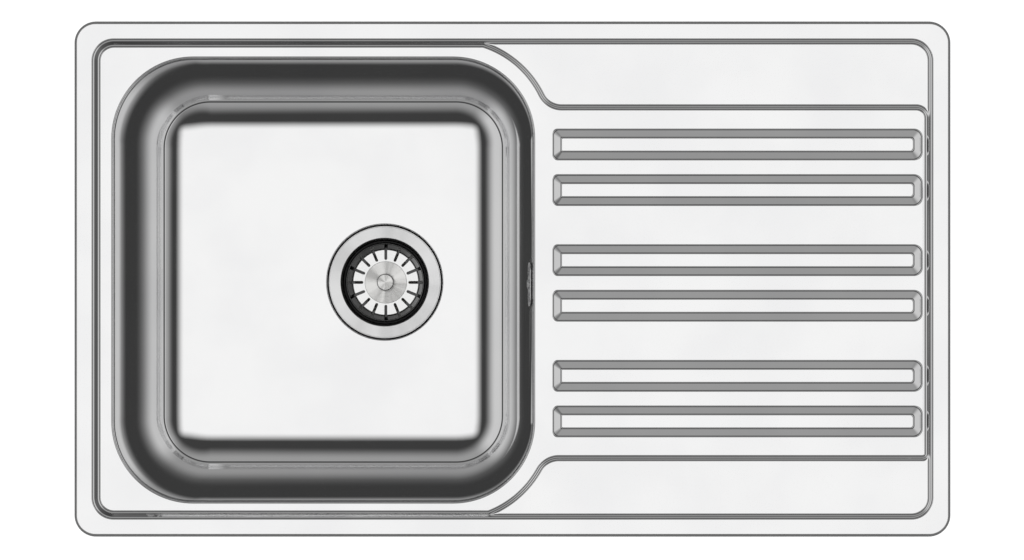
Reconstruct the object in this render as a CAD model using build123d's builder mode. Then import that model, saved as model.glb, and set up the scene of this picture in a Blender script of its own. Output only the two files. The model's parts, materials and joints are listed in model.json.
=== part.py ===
from build123d import *
from math import atan2, cos, hypot, radians, sin, sqrt, tan
import os

# An inset kitchen sink with one bowl and a ribbed drainer, with its waste, overflow and
# worktop clips. The origin is the plan centre of the sink on the worktop: Z = 0 is the
# worktop's upper face, +X points to the drainer and +Y to the wall behind the sink.

# ---- driving dimensions, in millimetres and degrees ----

# the sheet and the rim
length = 850.0
width = 500.0
outer_radius = 21.0
sheet = 0.8
rim_height = 5.0
rim_width = 18.3
lip_radius = 2.0
lip_gap = 0.4
overcut = 2.0

# the steps from the rim to the ledges and from the ledges to the drained level
step_height = 3.0
step_angle = 47.0
step_radius = 20.0
back_ledge = 63.7
front_ledge = 56.5
back_end_radius = 12.0
front_end_radius = 6.0
curve_margin = 17.1
reverse_radius = 20.6

# the bowl
bowl_length = 412.2
bowl_end_margin = 16.8
bowl_back_margin = 15.3
bowl_front_margin = 13.5
bowl_radius = 80.0
bowl_lip = 3.0
bowl_draft = 7.0
bowl_depth = 180.0
bowl_floor_radius = 36.0
weld_depth = 9.0

# the drainer's ribs, in three pairs
rib_gap = 17.3
rib_end_gap = 8.3
rib_back_gap = 23.0
rib_front_gap = 22.6
rib_width = 29.0
rib_top_width = 13.6
rib_height = 4.5
rib_radius = 6.0
rib_top_radius = 1.5
rib_pairs = 3
rib_spacing = 44.2

# the seal under the rim and the damping pads
seal_width = 6.0
seal_inset = 3.0
pad_thickness = 3.0
pad_radius = 8.0
floor_pad_width = 230.0
floor_pad_gap = 20.6
floor_pad_inset = 13.3
drainer_pad_inset = 59.4
drainer_pad_width = 110.0

# the worktop clips, eight of them
clip_inset = 21.0
clip_end_inset = 125.0
hanger_gap = 5.0
hanger_flange = 5.5
clip_plate = 1.5
clip_width = 18.0
clip_drop = 20.0
clip_outer_reach = 6.0
screw_radius = 2.5
thread_gap = 0.08
clear_gap = 0.4
nut_height = 4.0
nut_flats = 8.0
claw_thickness = 2.0
claw_width = 12.0
claw_reach = 19.0
claw_radius = 3.0
claw_tooth = 3.0
tooth_spacing = 6.0
worktop_most = 40.0
claw_slack = 2.0
screw_head_radius = 4.4
screw_head_height = 3.5
screw_head_round = 0.9
screw_tip_chamfer = 0.6
screw_tip_z = -19.0
collar_height = 0.8
collar_radius = 4.0
slot_size = 1.2
pivot_gap = 0.1

# the earthing tag
tag_end_inset = 225.0
tag_inset = 36.0
tag_length = 22.0
tag_width = 12.0
tag_radius = 4.0
tag_plate = 1.0
tag_foot = 8.0
tag_slot = 1.0
tag_screw_radius = 2.0
tag_screw_length = 10.0
tag_head_radius = 3.8
tag_head_height = 2.2
tag_head_round = 0.5
tag_nut_flats = 7.0
tag_nut_height = 3.2

# the strainer in the bowl's floor
drain_offset = 52.4
recess_radius = 60.0
recess_foot_radius = 58.0
recess_depth = 3.0
waste_hole_radius = 45.0
flange_radius = 57.15
flange_sheet = 1.0
throat_radius = 43.6
throat_lip = 1.8
throat_depth = 14.0
seat_radius = 40.2
seat_depth = 18.0
cup_depth = 36.0
cup_bend = 2.0
cup_windows = 6
cup_window_radius = 8.5
cup_window_place = 24.0
flange_gasket_height = 1.8
flange_gasket_inner = 46.0
flange_gasket_outer = 56.5
waste_gasket_inset = 1.0

# the basket and what it carries
basket_top = 9.0
basket_rim_radius = 38.9
basket_floor_radius = 33.6
basket_depth = 18.0
basket_sheet = 0.8
basket_bend = 2.0
rim_bead = 1.3
slot_count = 16
slot_start = 22.6
slot_width = 2.5
slot_rise = 7.0
plate_radius = 21.8
plate_thickness = 0.8
knob_radius = 8.7
knob_waist_radius = 6.0
knob_foot_radius = 7.5
knob_height = 15.0
knob_cap = 4.0
knob_edge = 1.0
seal_outer_radius = 43.0
seal_height = 3.0
seal_lip = 0.8
seat_gap = 0.3
stem_radius = 3.2
stem_gap = 0.08
stem_collar_radius = 5.0
stem_collar_height = 1.3
stem_length = 5.2
ring_wire = 0.32
ring_groove = 0.8

# the waste body under the bowl
waste_gasket_height = 3.0
waste_flange_radius = 58.0
waste_flange_height = 5.0
waste_radius = 52.0
waste_wall = 2.5
waste_straight = 46.0
waste_cone = 60.0
waste_neck = 68.0
waste_relief = 69.5
waste_depth = 88.0
weld_collar_radius = 55.0
weld_collar = 2.0
neck_wall = 3.2
relief_depth = 0.8
outlet_radius = 23.9
outlet_bore = 20.5
hub_radius = 8.5
hub_top = 40.0
hub_bottom = 54.0
spoke_width = 3.0
spoke_count = 3
clamp_radius = 4.0
clamp_gap = 0.3
clamp_head_radius = 7.0
clamp_head_height = 5.6
clamp_nut_radius = 6.0
hose_radius = 9.0
hose_bore = 6.8
inlet_depth = 26.0
inlet_reach = 80.0
boss_radius = 13.0
boss_reach = 54.0
spigot_collar_radius = 12.0
spigot_collar = 2.0
socket_gap = 0.05

# the overflow in the bowl's wall beside the drainer
overflow_shift = -3.9
overflow_depth = 22.0
overflow_length = 37.0
overflow_height = 10.0
overflow_radius = 4.0
grille_border = 3.0
grille_thickness = 0.8
grille_slot_length = 10.0
grille_slot_height = 2.0
grille_slot_spacing = 3.6
grille_slot_place = 12.5
housing_border = 6.0
housing_depth = 19.0
housing_wall = 2.0
overflow_gasket_height = 2.0
spigot_length = 24.0
overflow_screw_radius = 2.5
overflow_boss_radius = 4.8
overflow_head_radius = 4.6
overflow_head_height = 1.6
overflow_head_round = 0.8
overflow_screw_length = 14.0

# ---- levels and places that follow from them ----

rim_z = rim_height
ledge_z = rim_z - step_height
deck_z = ledge_z - step_height
weld_z = deck_z - weld_depth
floor_z = deck_z - bowl_depth
step_run = step_height / tan(radians(step_angle))
draft_run = tan(radians(bowl_draft))
lip_share = (1 - sin(radians(bowl_draft))) / cos(radians(bowl_draft))
lip_run = bowl_lip * lip_share

# half the well inside the flat rim, and the steps in it
well_x = length / 2 - rim_width
well_y = width / 2 - rim_width
back_step_y = well_y - back_ledge
front_step_y = well_y - front_ledge

# the bowl and the curves round its corners
bowl_width = 2 * well_y - bowl_back_margin - bowl_front_margin
bowl_x = -well_x + bowl_end_margin + bowl_length / 2
bowl_y = (bowl_front_margin - bowl_back_margin) / 2
corner_x = bowl_x + bowl_length / 2 - bowl_radius
corner_y = bowl_width / 2 - bowl_radius

# the ribs fill the space from the bowl to the rim and from step to step
rib_run = (rib_width - rib_top_width) / 2
rib_angle = atan2(rib_height, rib_run)
rib_left = bowl_x + bowl_length / 2 + rib_gap
rib_length = well_x - rib_end_gap - rib_left
rib_x = rib_left + rib_length / 2
rib_back_y = back_step_y - rib_back_gap - rib_width / 2
rib_front_y = rib_front_gap + rib_width / 2 - front_step_y
rib_group_y = (rib_back_y + rib_front_y) / 2
rib_pair_pitch = (rib_back_y - rib_front_y - rib_spacing) / (rib_pairs - 1)
rib_ys = [
    rib_group_y + (pair - (rib_pairs - 1) / 2) * rib_pair_pitch + side * rib_spacing / 2
    for pair in range(rib_pairs)
    for side in (-1, 1)
]

# the drain, and the pad between it and the curve at the floor's left end
drain_x = bowl_x + drain_offset
recess_slope = recess_radius - recess_foot_radius
recess_grow = (hypot(recess_slope, recess_depth) - recess_slope) / recess_depth
floor_curve = bowl_floor_radius * tan(radians(90 - bowl_draft) / 2)
floor_left = bowl_x - bowl_length / 2 + lip_run + bowl_depth * draft_run + floor_curve
pad_left = floor_left + floor_pad_inset
pad_right = drain_x - waste_flange_radius - floor_pad_gap
drainer_pad_length = rib_length - 2 * drainer_pad_inset


os.makedirs("parts", exist_ok=True)


def save(piece, label):
    """Label a finished piece and write it under the same name."""
    piece.part.label = label
    export_step(piece.part, f"parts/{label}.step")


# ---- outlines of the pressed top ----


def rounded_face(level, x_size, y_size, radius, centre=(0, 0)):
    """A rounded rectangle at one level."""
    with BuildSketch(Plane.XY.offset(level)) as face:
        with Locations(centre):
            RectangleRounded(x_size, y_size, radius)
    return face.sketch


def arc_about(centre, start, end):
    """The short arc from start to end about centre."""
    centre, start, end = Vector(centre), Vector(start), Vector(end)
    towards = ((start - centre) + (end - centre)).normalized()
    return ThreePointArc(start, centre + towards * (start - centre).length, end)


def deck_half(side, step_y, end_radius, inset):
    """Half of the drained level's outline, behind (1) or in front of (-1) the middle."""
    right = well_x - step_run - inset
    far = side * (well_y - step_run - inset)
    near = side * (step_y - inset)
    left_radius = step_radius - step_run - inset
    curve = bowl_radius + curve_margin - inset
    reverse = reverse_radius + inset
    bowl_corner = Vector(corner_x, bowl_y + side * corner_y)
    reverse_y = side * (step_y + reverse_radius)
    reach = sqrt((curve + reverse) ** 2 - (reverse_y - bowl_corner.Y) ** 2)
    reverse_centre = Vector(corner_x + reach, reverse_y)
    fork = (corner_x + sqrt(curve**2 - (far - bowl_corner.Y) ** 2), far)
    meet = bowl_corner + (reverse_centre - bowl_corner) * (curve / (curve + reverse))
    end = end_radius - inset
    arc_about((-right + left_radius, far - side * left_radius), (-right, far - side * left_radius),
              (-right + left_radius, far))
    Line((-right + left_radius, far), fork)
    arc_about(bowl_corner, fork, meet)
    arc_about(reverse_centre, meet, (reverse_centre.X, near))
    Line((reverse_centre.X, near), (right - end, near))
    arc_about((right - end, near - side * end), (right - end, near), (right, near - side * end))
    return (-right, far - side * left_radius), (right, near - side * end)


def deck_face(level, inset):
    """The drained level with its two curved steps round the bowl, drawn in by inset."""
    with BuildSketch(Plane.XY.offset(level)) as face:
        with BuildLine():
            back_left, back_right = deck_half(1, back_step_y, back_end_radius, inset)
            front_left, front_right = deck_half(-1, front_step_y, front_end_radius, inset)
            Line(back_left, front_left)
            Line(back_right, front_right)
        make_face()
    return face.sketch


def pressed_form(skin):
    """All that lies under the pressed surface, or under its back face when skin is the sheet."""
    grow = skin * tan(radians(step_angle) / 2)
    rib_in = skin * tan(rib_angle / 2)
    mouth = lip_run - skin * lip_share
    with BuildPart() as form:
        with BuildSketch(Plane.XY.offset(weld_z - skin)):
            RectangleRounded(length - 2 * skin, width - 2 * skin, outer_radius - skin)
        extrude(amount=rim_z - weld_z)
        fillet(form.edges().group_by(Axis.Z)[-1], lip_radius - skin)
        rim_edge = rounded_face(rim_z - skin, 2 * (well_x + grow), 2 * (well_y + grow), step_radius + grow)
        ledge_edge = rounded_face(ledge_z - skin, 2 * (well_x + grow - step_run),
                                  2 * (well_y + grow - step_run), step_radius + grow - step_run)
        loft([rim_edge, ledge_edge], ruled=True, mode=Mode.SUBTRACT)
        deck = [deck_face(ledge_z - skin, -grow), deck_face(deck_z - skin, step_run - grow)]
        loft(deck, ruled=True, mode=Mode.SUBTRACT)
        with BuildSketch(Plane.XY.offset(deck_z - skin)):
            with Locations((bowl_x, bowl_y)):
                RectangleRounded(bowl_length - 2 * mouth, bowl_width - 2 * mouth, bowl_radius - mouth)
        extrude(amount=-weld_depth, taper=bowl_draft, mode=Mode.SUBTRACT)
        fillet(form.edges(Select.LAST).group_by(Axis.Z)[-1], bowl_lip - skin)
        for y in rib_ys:
            foot = rounded_face(deck_z - skin, rib_length - 2 * rib_in, rib_width - 2 * rib_in,
                                rib_radius - rib_in, (rib_x, y))
            crest = rounded_face(deck_z - skin + rib_height, rib_length - 2 * rib_run - 2 * rib_in,
                                 rib_top_width - 2 * rib_in, rib_top_radius - rib_in, (rib_x, y))
            loft([foot, crest], ruled=True)
    return form.part


# ---- the pressed top and the bowl ----

with BuildPart() as drainboard_top:
    add(pressed_form(0))
    add(pressed_form(sheet), mode=Mode.SUBTRACT)
    with BuildSketch(Plane.XY.offset(lip_gap)):
        Rectangle(2 * length, 2 * width)
        RectangleRounded(length - 2 * rim_width, width - 2 * rim_width, step_radius, mode=Mode.SUBTRACT)
    extrude(amount=weld_z - sheet - overcut, mode=Mode.SUBTRACT)
save(drainboard_top, "drainboard_top")


def bowl_form(skin):
    """The bowl's space below the weld, or that space grown by the sheet."""
    inset = lip_run + weld_depth * draft_run - skin / cos(radians(bowl_draft))
    with BuildPart() as form:
        with BuildSketch(Plane.XY.offset(weld_z)):
            with Locations((bowl_x, bowl_y)):
                RectangleRounded(bowl_length - 2 * inset, bowl_width - 2 * inset, bowl_radius - inset)
        extrude(amount=floor_z - skin - weld_z, taper=bowl_draft)
        fillet(form.edges().group_by(Axis.Z)[0], bowl_floor_radius + skin)
        with Locations((drain_x, bowl_y, floor_z - skin)):
            Cone(recess_foot_radius + skin * recess_grow, recess_radius + skin * recess_grow, recess_depth,
                 align=(Align.CENTER, Align.CENTER, Align.MAX))
    return form.part


overflow_wall_x = bowl_x + bowl_length / 2 - lip_run - overflow_depth * draft_run
overflow_y = bowl_y + overflow_shift
overflow_normal = (-cos(radians(bowl_draft)), 0, sin(radians(bowl_draft)))


def overflow_plane(height):
    """A plane on the bowl's wall at the overflow, height above it towards the bowl's inside."""
    wall = Plane((overflow_wall_x, overflow_y, deck_z - overflow_depth), (0, -1, 0), overflow_normal)
    return wall.offset(height)


with BuildPart() as bowl:
    add(bowl_form(sheet))
    add(bowl_form(0), mode=Mode.SUBTRACT)
    with Locations((drain_x, bowl_y, floor_z - recess_depth)):
        Cylinder(waste_hole_radius, 2 * (sheet + overcut), mode=Mode.SUBTRACT)
    with BuildSketch(overflow_plane(overcut)):
        RectangleRounded(overflow_length, overflow_height, overflow_radius)
    extrude(amount=-sheet - 2 * overcut, mode=Mode.SUBTRACT)
save(bowl, "bowl")

# ---- the seal under the rim and the damping pads ----

with BuildPart() as rim_seal:
    with BuildSketch():
        for inset, mode in ((seal_inset, Mode.ADD), (seal_inset + seal_width, Mode.SUBTRACT)):
            RectangleRounded(length - 2 * inset, width - 2 * inset, outer_radius - inset, mode=mode)
    extrude(amount=rim_z - sheet)
save(rim_seal, "rim_seal")

with BuildPart() as bowl_pad:
    add(rounded_face(floor_z - sheet, pad_right - pad_left, floor_pad_width, pad_radius,
                     ((pad_left + pad_right) / 2, bowl_y)))
    extrude(amount=-pad_thickness)
save(bowl_pad, "bowl_pad")

with BuildPart() as drainer_pad:
    add(rounded_face(deck_z - sheet, drainer_pad_length, drainer_pad_width, pad_radius,
                     (rib_x, rib_group_y)))
    extrude(amount=-pad_thickness)
save(drainer_pad, "drainer_pad")

# ---- the earthing point under the back ledge ----

tag_x = length / 2 - tag_end_inset
tag_y = width / 2 - tag_inset
tag_top = ledge_z - sheet
tag_hole = (tag_x, tag_y, tag_top - tag_length + tag_width / 2)

with BuildPart() as earth_tag:
    with BuildSketch(Plane((tag_x, tag_y, tag_top), (0, 1, 0), (1, 0, 0))):
        Rectangle(tag_foot, tag_plate, align=(Align.MIN, Align.MAX))
        Rectangle(tag_plate, tag_length, align=(Align.MIN, Align.MAX))
    extrude(amount=tag_width / 2, both=True)
    fillet(earth_tag.edges().filter_by(Axis.Y).group_by(Axis.Z)[0], tag_radius)
    with Locations(Plane(tag_hole, z_dir=(0, 1, 0))):
        Cylinder(tag_screw_radius + thread_gap, 2 * (tag_plate + overcut), mode=Mode.SUBTRACT)
save(earth_tag, "earth_tag")

with BuildPart() as earth_screw:
    with Locations(Plane(tag_hole, z_dir=(0, 1, 0))):
        Cylinder(tag_head_radius, tag_head_height, align=(Align.CENTER, Align.CENTER, Align.MAX))
        Cylinder(tag_screw_radius, tag_screw_length, align=(Align.CENTER, Align.CENTER, Align.MIN))
        with Locations((0, 0, -tag_head_height)):
            Box(2 * tag_head_radius, tag_slot, tag_slot, align=(Align.CENTER, Align.CENTER, Align.MIN),
                mode=Mode.SUBTRACT)
    fillet(earth_screw.edges().filter_by(GeomType.CIRCLE).group_by(Axis.Y)[0], tag_head_round)
save(earth_screw, "earth_screw")

with BuildPart() as earth_nut:
    with BuildSketch(Plane(tag_hole, z_dir=(0, 1, 0)).offset(tag_plate)):
        RegularPolygon(tag_nut_flats / 2, 6, major_radius=False)
        Circle(tag_screw_radius + thread_gap, mode=Mode.SUBTRACT)
    extrude(amount=tag_nut_height)
save(earth_nut, "earth_nut")

# ---- the worktop clips ----

clip_x = length / 2 - clip_end_inset
claw_top = -worktop_most - claw_slack - claw_tooth
hanger_foot_z = -clip_drop - clip_plate


def clip_place(side, place):
    """The vertical axis of one clip: its point, its way out to the rim and its way along it."""
    if side in ("back", "front"):
        out = Vector(0, 1 if side == "back" else -1)
        point = Vector(place, out.Y * (width / 2 - clip_inset))
    else:
        out = Vector(1 if side == "right" else -1, 0)
        point = Vector(out.X * (length / 2 - clip_inset), place)
    return point, out, Vector(out.Y, -out.X)


clip_side_ys = [rib_group_y + half * rib_pair_pitch / 2 for half in (1, -1)]
clip_places = [
    ("back", -clip_x, deck_z), ("back", clip_x, ledge_z),
    ("right", clip_side_ys[0], deck_z), ("right", clip_side_ys[1], deck_z),
    ("front", clip_x, ledge_z), ("front", -clip_x, deck_z),
    ("left", clip_side_ys[1], deck_z), ("left", clip_side_ys[0], deck_z),
]
nut_places = []

for number, (side, place, level) in enumerate(clip_places, start=1):
    axis, out, along = clip_place(side, place)
    section = Plane(axis, out, along)
    flat = Plane(axis, along, (0, 0, 1))
    nut_places.append(flat.offset(hanger_foot_z))
    top = level - sheet

    with BuildPart() as hanger:
        with BuildSketch(section):
            with BuildLine():
                bend = -hanger_gap
                Polyline((bend - hanger_flange, top), (bend, top), (bend, -clip_drop),
                         (clip_outer_reach, -clip_drop), (clip_outer_reach, hanger_foot_z),
                         (bend - clip_plate, hanger_foot_z), (bend - clip_plate, top - clip_plate),
                         (bend - hanger_flange, top - clip_plate), close=True)
            make_face()
        extrude(amount=clip_width / 2, both=True)
        with Locations(axis + Vector(0, 0, -clip_drop)):
            Cylinder(screw_radius + clear_gap, 2 * (clip_plate + overcut), mode=Mode.SUBTRACT)
    save(hanger, f"clip_hanger_{number}")

    with BuildPart() as screw:
        with BuildSketch(flat.offset(claw_top - claw_thickness - pivot_gap)):
            Circle(screw_head_radius)
        extrude(amount=-screw_head_height)
        fillet(screw.edges().group_by(Axis.Z)[0], screw_head_round)
        with BuildSketch(flat.offset(claw_top - claw_thickness - pivot_gap)):
            Circle(screw_radius)
        extrude(amount=screw_tip_z - claw_top + claw_thickness + pivot_gap)
        chamfer(screw.edges().group_by(Axis.Z)[-1], screw_tip_chamfer)
        with BuildSketch(flat.offset(claw_top + pivot_gap)):
            Circle(collar_radius)
        extrude(amount=collar_height)
        with BuildSketch(flat.offset(claw_top - claw_thickness - pivot_gap - screw_head_height)):
            Rectangle(2 * screw_head_radius, slot_size)
            Rectangle(slot_size, 2 * screw_head_radius)
        extrude(amount=slot_size, mode=Mode.SUBTRACT)
    save(screw, f"clip_screw_{number}")

    with BuildPart() as claw:
        with BuildSketch(flat.offset(claw_top)):
            with Locations(((claw_reach - claw_width / 2) / 2, 0)):
                RectangleRounded(claw_reach + claw_width / 2, claw_width, claw_radius)
            Circle(screw_radius + thread_gap, mode=Mode.SUBTRACT)
        extrude(amount=-claw_thickness)
        with BuildSketch(flat.offset(claw_top)):
            with Locations(*[(claw_reach - claw_thickness, half * tooth_spacing / 2) for half in (-1, 1)]):
                Rectangle(claw_thickness, claw_thickness)
        extrude(amount=claw_tooth)
    save(claw, f"clip_claw_{number}")

with BuildPart() as clip_nuts:
    for plane in nut_places:
        with BuildSketch(plane):
            RegularPolygon(nut_flats / 2, 6, major_radius=False)
            Circle(screw_radius + thread_gap, mode=Mode.SUBTRACT)
        extrude(amount=-nut_height)
save(clip_nuts, "clip_nuts")

# ---- the strainer: flange, cup and gaskets, turned about the drain's axis ----

drain = Plane((drain_x, bowl_y, floor_z))
drain_section = Plane((drain_x, bowl_y, floor_z), (1, 0, 0), (0, -1, 0))
drain_axis = Axis((drain_x, bowl_y, floor_z), (0, 0, 1))
flange_z = -recess_depth + flange_gasket_height + flange_sheet
waste_z = -recess_depth - sheet - waste_gasket_height


def turned(points):
    """A closed outline of radius and height, turned about the drain's axis."""
    with BuildPart() as shape:
        with BuildSketch(drain_section):
            with BuildLine():
                Polyline(*points, close=True)
            make_face()
        revolve(axis=drain_axis)
    return shape.part


def turned_sheet(points, thickness, bends, side):
    """A sheet whose upper face follows points, thickness to one side, turned about the drain."""
    with BuildPart() as shape:
        with BuildSketch(drain_section):
            with BuildLine():
                FilletPolyline(*points, radius=bends)
                offset(amount=thickness, side=side)
            make_face()
        revolve(axis=drain_axis)
    return shape.part


with BuildPart() as strainer_flange:
    add(turned_sheet([(flange_radius, flange_z), (throat_radius, flange_z), (throat_radius, -throat_depth),
                      (seat_radius, -seat_depth), (seat_radius, -cup_depth + flange_sheet),
                      (clamp_radius + clamp_gap, -cup_depth + flange_sheet)],
                     flange_sheet, (throat_lip, cup_bend, cup_bend, cup_bend), Side.LEFT))
    with BuildSketch(drain.offset(-cup_depth)):
        with PolarLocations(cup_window_place, cup_windows):
            Circle(cup_window_radius)
    extrude(amount=flange_sheet + overcut, both=True, mode=Mode.SUBTRACT)
save(strainer_flange, "strainer_flange")

with BuildPart() as flange_gasket:
    with BuildSketch(drain.offset(-recess_depth)):
        Circle(flange_gasket_outer)
        Circle(flange_gasket_inner, mode=Mode.SUBTRACT)
    extrude(amount=flange_gasket_height)
save(flange_gasket, "flange_gasket")

with BuildPart() as waste_gasket:
    with BuildSketch(drain.offset(waste_z)):
        Circle(recess_foot_radius - waste_gasket_inset)
        Circle(waste_hole_radius + waste_gasket_inset, mode=Mode.SUBTRACT)
    extrude(amount=waste_gasket_height)
save(waste_gasket, "waste_gasket")

# ---- the waste body, its funnel, the hose spigot, the brass insert and the clamp screw ----

bore = waste_radius - waste_wall
neck_radius = outlet_radius + neck_wall
inlet = Plane((drain_x, bowl_y, floor_z - inlet_depth), (0, 1, 0), (1, 0, 0))

with BuildPart() as waste_body:
    add(turned([(bore, waste_z), (waste_flange_radius, waste_z),
                (waste_flange_radius, waste_z - waste_flange_height),
                (waste_radius, waste_z - waste_flange_height),
                (waste_radius, -waste_straight + weld_collar),
                (weld_collar_radius, -waste_straight + weld_collar),
                (weld_collar_radius, -waste_straight), (bore, -waste_straight)]))
    with BuildSketch(drain.offset(-hub_bottom)):
        Circle(hub_radius)
    extrude(amount=hub_bottom - hub_top)
    with BuildSketch(drain.offset(-waste_straight)):
        with PolarLocations(bore / 2, spoke_count, start_angle=90):
            Rectangle(bore + waste_wall, spoke_width)
    extrude(amount=waste_straight - hub_top)
    with BuildSketch(inlet.offset(bore)):
        Circle(boss_radius)
    extrude(amount=boss_reach - bore)
    with BuildSketch(drain.offset(-cup_depth - clamp_gap)):
        Circle(bore)
    extrude(amount=cup_depth, mode=Mode.SUBTRACT)
    with BuildSketch(inlet.offset(bore / 2)):
        Circle(hose_radius + socket_gap)
    extrude(amount=boss_reach, mode=Mode.SUBTRACT)
    with BuildSketch(drain.offset(-hub_bottom)):
        Circle(clamp_nut_radius)
    extrude(amount=hub_bottom - hub_top, mode=Mode.SUBTRACT)
save(waste_body, "waste_body")

with BuildPart() as waste_funnel:
    add(turned([(bore, -waste_straight), (weld_collar_radius, -waste_straight),
                (weld_collar_radius, -waste_straight - weld_collar),
                (waste_radius, -waste_straight - weld_collar), (neck_radius, -waste_cone),
                (neck_radius, -waste_neck), (outlet_radius - relief_depth, -waste_neck),
                (outlet_radius - relief_depth, -waste_relief), (outlet_radius, -waste_relief),
                (outlet_radius, -waste_depth), (outlet_bore, -waste_depth),
                (outlet_bore, -waste_cone + waste_wall)]))
save(waste_funnel, "waste_funnel")

with BuildPart() as inlet_spigot:
    with BuildSketch(inlet.offset(waste_radius)):
        Circle(hose_radius)
    extrude(amount=inlet_reach - waste_radius)
    with BuildSketch(inlet.offset(boss_reach)):
        Circle(spigot_collar_radius)
    extrude(amount=spigot_collar)
    with BuildSketch(inlet.offset(waste_radius)):
        Circle(hose_bore)
    extrude(amount=inlet_reach - waste_radius, mode=Mode.SUBTRACT)
save(inlet_spigot, "inlet_spigot")

with BuildPart() as clamp_nut:
    with BuildSketch(drain.offset(-hub_bottom)):
        Circle(clamp_nut_radius)
        Circle(clamp_radius + thread_gap, mode=Mode.SUBTRACT)
    extrude(amount=hub_bottom - hub_top)
save(clamp_nut, "clamp_nut")

head_top = -cup_depth + flange_sheet + clamp_head_height
with BuildPart() as clamp_screw:
    add(turned([(0, -hub_bottom), (clamp_radius, -hub_bottom), (clamp_radius, head_top - clamp_head_height),
                (clamp_head_radius, head_top - clamp_head_height), (clamp_head_radius, head_top),
                (stem_radius + stem_gap, head_top),
                (stem_radius + stem_gap, head_top - clamp_head_height), (0, head_top - clamp_head_height)]))
save(clamp_screw, "clamp_screw")

# ---- the basket, which lifts out by its knob ----

wall_slope = (basket_rim_radius - basket_floor_radius) / basket_depth


def basket_outside(z):
    """The radius of the basket's outer wall at a height from the bowl's floor."""
    return basket_rim_radius + (z + basket_top) * wall_slope + basket_sheet * sqrt(1 + wall_slope**2)


basket_floor = -basket_top - basket_depth
seat_slope = (seat_depth - throat_depth) / (throat_radius - seat_radius)
seal_bottom = -throat_depth - (throat_radius - seal_outer_radius) * seat_slope + 2 * seat_gap
seal_top = seal_bottom + seal_height
stem_top = basket_floor - basket_sheet

with BuildPart() as basket:
    add(turned_sheet([(0, basket_floor), (basket_floor_radius, basket_floor),
                      (basket_rim_radius, -basket_top)], basket_sheet, (basket_bend,), Side.RIGHT))
    with Locations((drain_x, bowl_y, floor_z - basket_top)):
        Torus(basket_rim_radius + basket_sheet / 2, rim_bead)
    with BuildSketch(drain.offset(basket_floor - basket_sheet)):
        with PolarLocations(0, slot_count):
            with Locations((slot_start, 0)):
                SlotOverall(basket_rim_radius - slot_start, slot_width, align=(Align.MIN, Align.CENTER))
    extrude(amount=slot_rise, mode=Mode.SUBTRACT)
save(basket, "basket")

with BuildPart() as basket_seal:
    add(turned([(basket_outside(seal_bottom), seal_bottom), (seal_outer_radius - seal_lip, seal_bottom),
                (seal_outer_radius, seal_bottom + seal_lip), (seal_outer_radius, seal_top),
                (basket_outside(seal_top), seal_top)]))
save(basket_seal, "basket_seal")

with BuildPart() as basket_plate:
    with BuildSketch(drain.offset(basket_floor)):
        Circle(plate_radius)
    extrude(amount=plate_thickness)
save(basket_plate, "basket_plate")

knob_base = basket_floor + plate_thickness
knob_top = knob_base + knob_height
with BuildPart() as basket_knob:
    add(turned([(0, knob_base), (knob_foot_radius, knob_base), (knob_foot_radius, knob_base + knob_edge),
                (knob_waist_radius, knob_base + knob_cap), (knob_waist_radius, knob_top - knob_cap),
                (knob_radius, knob_top - 2 * knob_edge), (knob_radius, knob_top), (0, knob_top)]))
    fillet(basket_knob.edges().group_by(Axis.Z)[-1], knob_edge)
save(basket_knob, "basket_knob")

collar_foot = stem_top - stem_collar_height
stem_foot = collar_foot - stem_length
groove = (collar_foot + stem_foot) / 2
groove_top = groove + ring_groove / 2
groove_foot = groove - ring_groove / 2
with BuildPart() as basket_stem:
    add(turned([(0, stem_top), (stem_collar_radius, stem_top), (stem_collar_radius, collar_foot),
                (stem_radius, collar_foot), (stem_radius, groove_top),
                (stem_radius - ring_groove, groove_top), (stem_radius - ring_groove, groove_foot),
                (stem_radius, groove_foot),
                (stem_radius, stem_foot), (0, stem_foot)]))
save(basket_stem, "basket_stem")

with BuildPart() as stem_ring:
    with Locations((drain_x, bowl_y, floor_z + groove)):
        Torus(stem_radius - ring_wire, ring_wire)
save(stem_ring, "stem_ring")

# ---- the overflow behind its grille ----

wall_back = -sheet
housing_front = wall_back - overflow_gasket_height
housing_back = housing_front - housing_depth
housing_length = overflow_length + 2 * housing_border
housing_width = overflow_height + 2 * housing_border

with BuildPart() as overflow_grille:
    with BuildSketch(overflow_plane(0)):
        RectangleRounded(overflow_length + 2 * grille_border, overflow_height + 2 * grille_border,
                         overflow_radius + grille_border)
        with GridLocations(2 * grille_slot_place, grille_slot_spacing, 2, 3):
            SlotOverall(grille_slot_length, grille_slot_height, mode=Mode.SUBTRACT)
        Circle(overflow_screw_radius + clamp_gap, mode=Mode.SUBTRACT)
    extrude(amount=grille_thickness)
save(overflow_grille, "overflow_grille")

with BuildPart() as overflow_gasket:
    with BuildSketch(overflow_plane(wall_back)):
        RectangleRounded(housing_length, housing_width, overflow_radius + grille_border)
        RectangleRounded(overflow_length, overflow_height, overflow_radius, mode=Mode.SUBTRACT)
    extrude(amount=-overflow_gasket_height)
save(overflow_gasket, "overflow_gasket")

spigot_plane = Plane(overflow_plane(housing_back + housing_depth / 2).origin, (0, 1, 0),
                     -overflow_plane(0).y_dir)

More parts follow.
